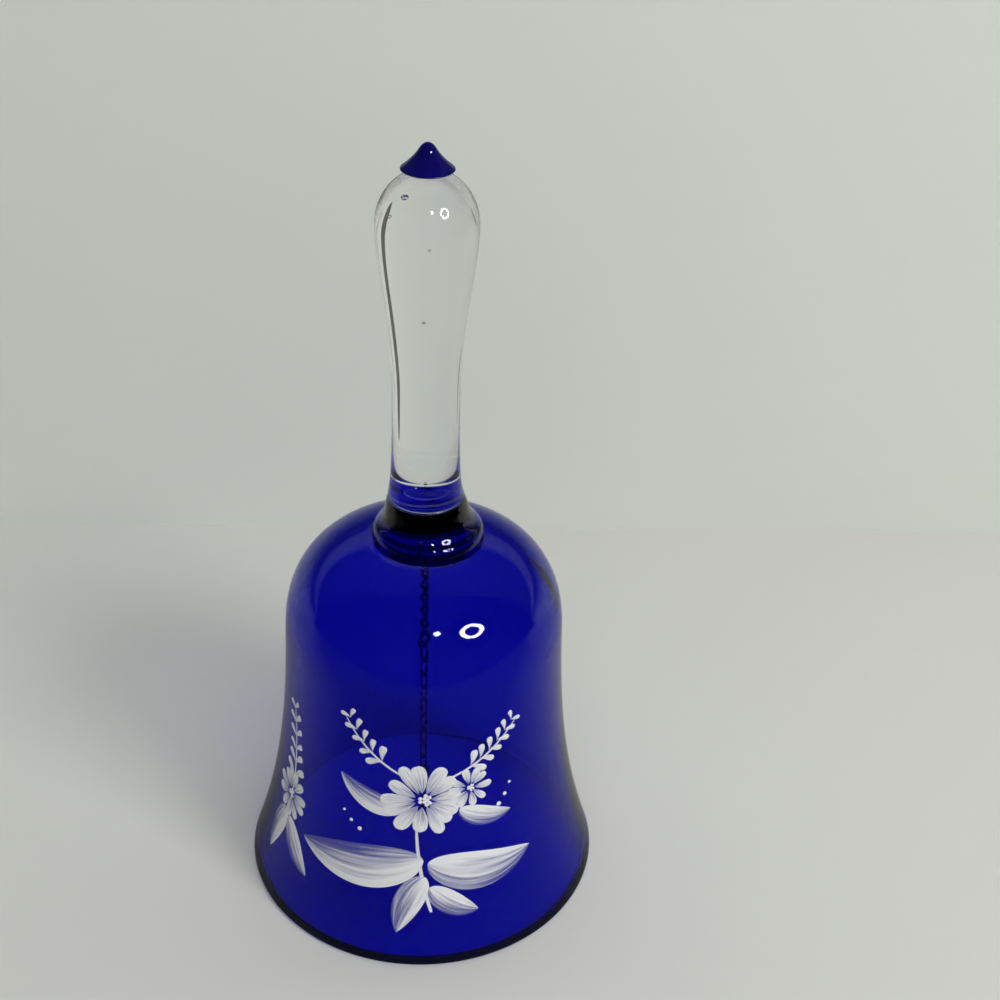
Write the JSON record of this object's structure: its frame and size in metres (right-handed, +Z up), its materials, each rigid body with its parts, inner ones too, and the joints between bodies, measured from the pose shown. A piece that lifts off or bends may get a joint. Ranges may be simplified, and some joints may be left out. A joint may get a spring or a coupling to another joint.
{
  "type": "glass dinner bell",
  "caption": "Hand bell of blown cobalt glass with a clear club handle and collar, a small cobalt finial, white enamel decoration and a bead clapper on a fine chain.",
  "frame": {"origin": "centre of the circle on which the rim stands, on the table's surface", "axes": "+Z up along the bell's axis from the mouth to the finial; +Y points away from the picture's camera, +X to its right"},
  "size_m": [0.08, 0.08, 0.1713],
  "materials": {
    "cobalt_glass": "fire-polished cobalt glass, deep blue, glossy",
    "clear_glass": "clear colourless glass, glossy, with a few seed bubbles",
    "chain_steel": "dull drawn steel wire",
    "white_enamel": "hand-laid white enamel, thin at the ends of the strokes"
  },
  "bodies": {
    "bell": {"bell_cup": "cobalt_glass", "crown_collar": "clear_glass", "handle": "clear_glass", "finial": "cobalt_glass", "clapper_hanger": "chain_steel"},
    "link_01": {"chain_link_01": "chain_steel"},
    "link_02": {"chain_link_02": "chain_steel"},
    "link_03": {"chain_link_03": "chain_steel"},
    "link_04": {"chain_link_04": "chain_steel"},
    "link_05": {"chain_link_05": "chain_steel"},
    "link_06": {"chain_link_06": "chain_steel"},
    "link_07": {"chain_link_07": "chain_steel"},
    "link_08": {"chain_link_08": "chain_steel"},
    "link_09": {"chain_link_09": "chain_steel"},
    "clapper": {"clapper_pin": "chain_steel", "clapper_bead": "clear_glass"}
  },
  "joints": [
    {"name": "link_01_swing", "type": "hinge", "parent": "bell", "child": "link_01", "pos_m": [0, 0, 0.0583], "axis": [0.7071, 0.7071, 0], "range_deg": [-7.5, 7.5]},
    {"name": "link_02_swing", "type": "hinge", "parent": "link_01", "child": "link_02", "pos_m": [0, 0, 0.05435], "axis": [-0.7071, 0.7071, 0], "range_deg": [-7.5, 7.5]},
    {"name": "link_03_swing", "type": "hinge", "parent": "link_02", "child": "link_03", "pos_m": [0, 0, 0.05025], "axis": [0.7071, 0.7071, 0], "range_deg": [-7.5, 7.5]},
    {"name": "link_04_swing", "type": "hinge", "parent": "link_03", "child": "link_04", "pos_m": [0, 0, 0.04615], "axis": [-0.7071, 0.7071, 0], "range_deg": [-7.5, 7.5]},
    {"name": "link_05_swing", "type": "hinge", "parent": "link_04", "child": "link_05", "pos_m": [0, 0, 0.04205], "axis": [0.7071, 0.7071, 0], "range_deg": [-7.5, 7.5]},
    {"name": "link_06_swing", "type": "hinge", "parent": "link_05", "child": "link_06", "pos_m": [0, 0, 0.03795], "axis": [-0.7071, 0.7071, 0], "range_deg": [-7.5, 7.5]},
    {"name": "link_07_swing", "type": "hinge", "parent": "link_06", "child": "link_07", "pos_m": [0, 0, 0.03385], "axis": [0.7071, 0.7071, 0], "range_deg": [-7.5, 7.5]},
    {"name": "link_08_swing", "type": "hinge", "parent": "link_07", "child": "link_08", "pos_m": [0, 0, 0.02975], "axis": [-0.7071, 0.7071, 0], "range_deg": [-7.5, 7.5]},
    {"name": "link_09_swing", "type": "hinge", "parent": "link_08", "child": "link_09", "pos_m": [0, 0, 0.02565], "axis": [0.7071, 0.7071, 0], "range_deg": [-7.5, 7.5]},
    {"name": "bead_swing", "type": "hinge", "parent": "link_09", "child": "clapper", "pos_m": [0, 0, 0.02155], "axis": [-0.7071, 0.7071, 0], "range_deg": [-7.5, 7.5]}
  ]
}
